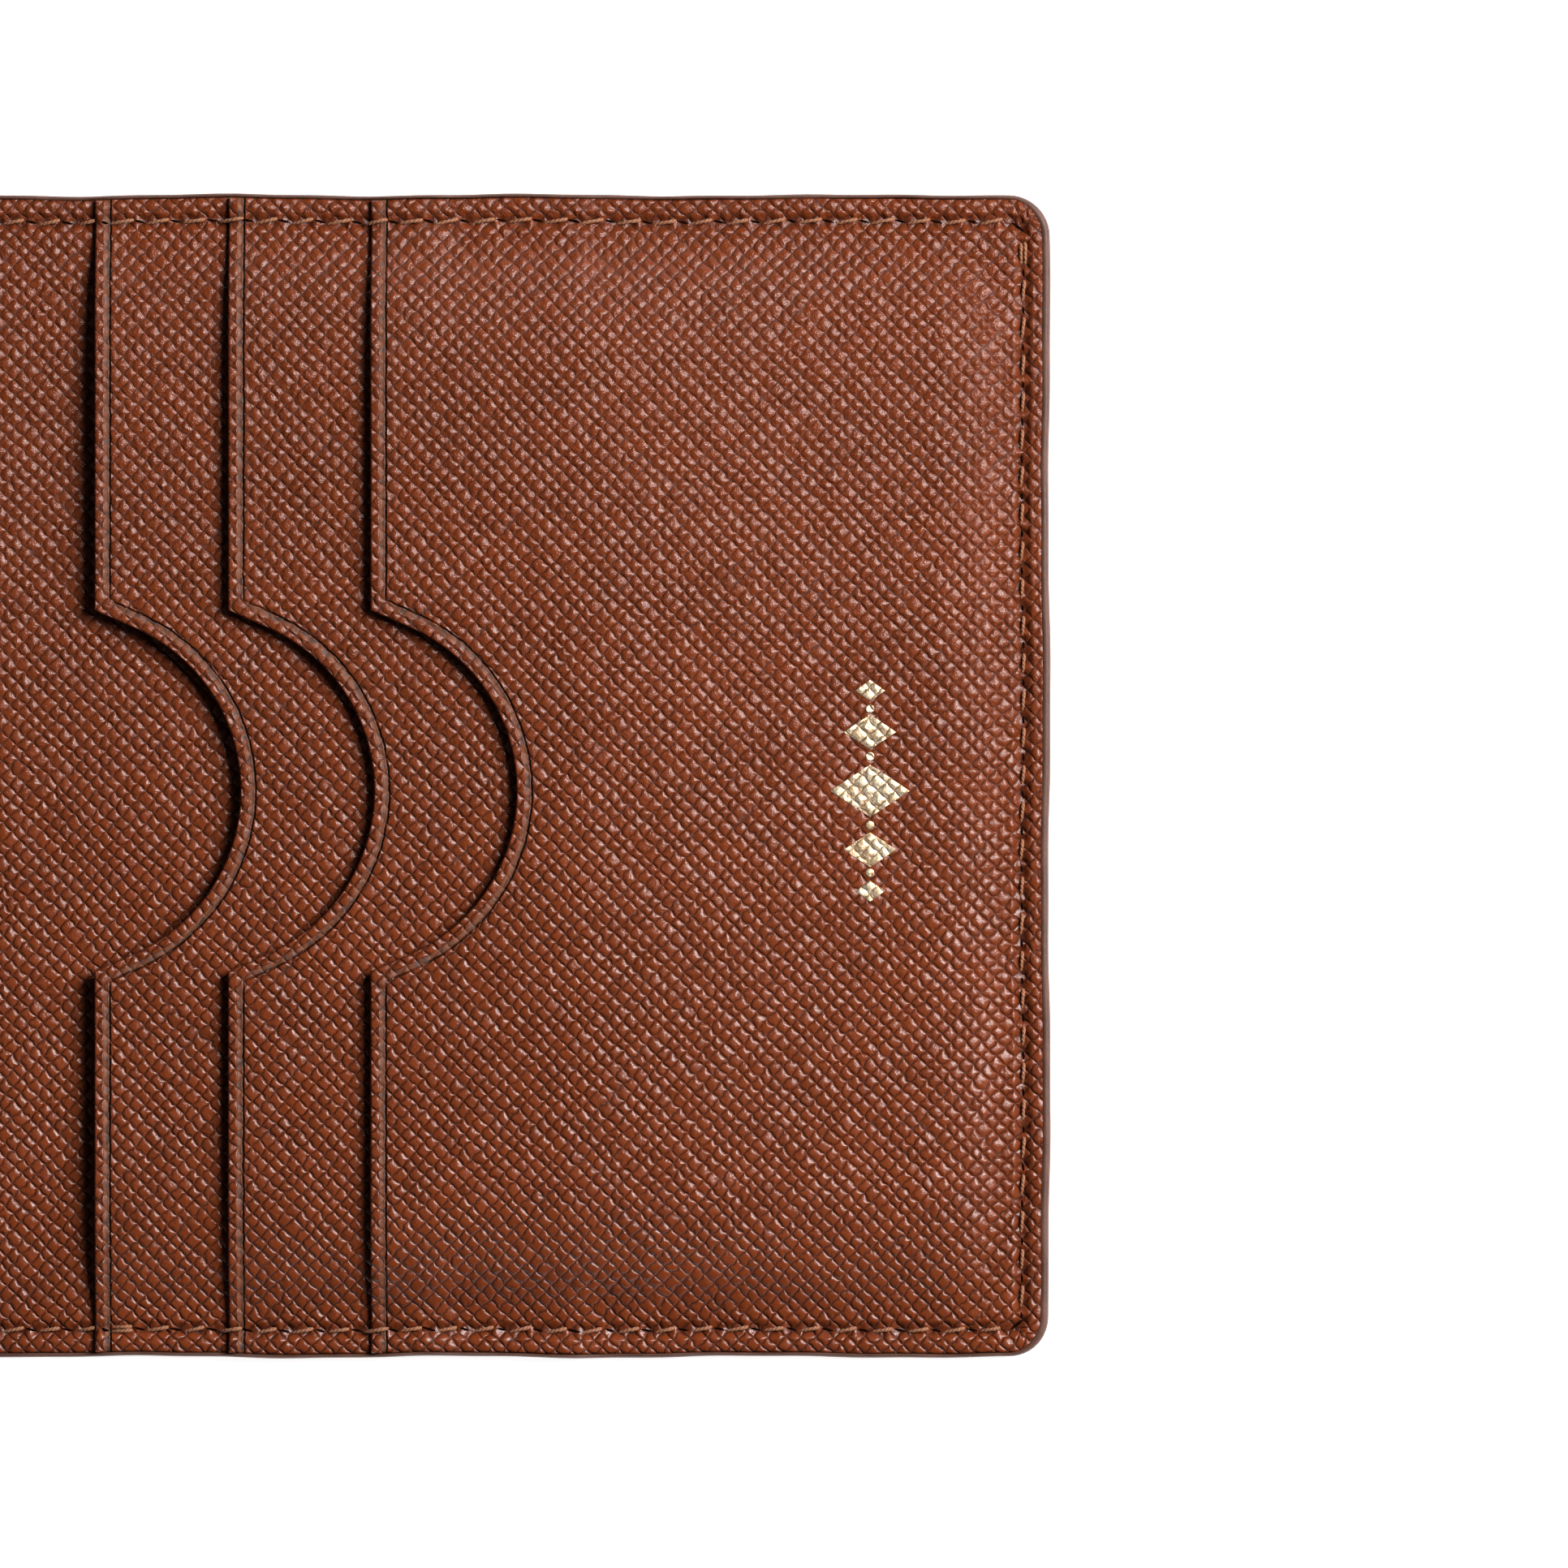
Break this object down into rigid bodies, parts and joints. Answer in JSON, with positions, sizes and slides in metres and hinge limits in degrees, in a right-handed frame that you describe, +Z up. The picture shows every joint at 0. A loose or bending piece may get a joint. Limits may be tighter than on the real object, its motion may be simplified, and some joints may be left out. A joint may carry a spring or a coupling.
{
  "type": "card wallet",
  "caption": "Bifold card wallet in cross-grained leather that folds on a soft spine, with stepped card slots and thumb notches on each side.",
  "frame": {"origin": "middle of the open wallet, on the surface that it lies on", "axes": "+X from the spine to the right cover's outer edge, +Y along the spine, +Z up out of the card slots"},
  "size_m": [0.192, 0.093, 0.0054],
  "materials": {
    "outer_leather": "cross-grained, semi-gloss",
    "pocket_leather": "cross-grained, semi-gloss",
    "shell_lining": "fine twill",
    "pocket_fabric": "fine twill",
    "bonded_leather_board": "raw",
    "edge_paint": "smooth, satin",
    "sewing_thread": "waxed, twisted",
    "gold_foil": "pressed foil"
  },
  "bodies": {
    "right_cover": {"right_bobbin_thread": "sewing_thread", "right_edge_paint": "edge_paint", "right_first_pocket_lining": "pocket_fabric", "right_first_pocket_strip": "pocket_leather", "right_front_pocket_lining": "pocket_fabric", "right_front_pocket_panel": "pocket_leather", "right_lining": "shell_lining", "right_needle_thread": "sewing_thread", "right_pocket_base_thread": "sewing_thread", "right_second_pocket_lining": "pocket_fabric", "right_second_pocket_strip": "pocket_leather", "right_shell": "outer_leather", "right_slip_panel": "pocket_leather", "right_stiffener_board": "bonded_leather_board", "foil_ornament": "gold_foil"},
    "spine": {"spine_bobbin_thread": "sewing_thread", "spine_edge_paint": "edge_paint", "spine_lining": "shell_lining", "spine_needle_thread": "sewing_thread", "spine_shell": "outer_leather"},
    "left_cover": {"left_bobbin_thread": "sewing_thread", "left_edge_paint": "edge_paint", "left_first_pocket_lining": "pocket_fabric", "left_first_pocket_strip": "pocket_leather", "left_front_pocket_lining": "pocket_fabric", "left_front_pocket_panel": "pocket_leather", "left_lining": "shell_lining", "left_needle_thread": "sewing_thread", "left_pocket_base_thread": "sewing_thread", "left_second_pocket_lining": "pocket_fabric", "left_second_pocket_strip": "pocket_leather", "left_shell": "outer_leather", "left_slip_panel": "pocket_leather", "left_stiffener_board": "bonded_leather_board"}
  },
  "joints": [
    {"name": "fold_right", "type": "hinge", "parent": "right_cover", "child": "spine", "pos_m": [0.00462, 0, 0.0011], "axis": [0, 1, 0], "range_deg": [0, 90]},
    {"name": "fold_left", "type": "hinge", "parent": "spine", "child": "left_cover", "pos_m": [-0.00462, 0, 0.0011], "axis": [0, 1, 0], "range_deg": [0, 90]}
  ],
  "couplings": [
    {"joint": "fold_left", "follows": "fold_right", "ratio": 1}
  ]
}
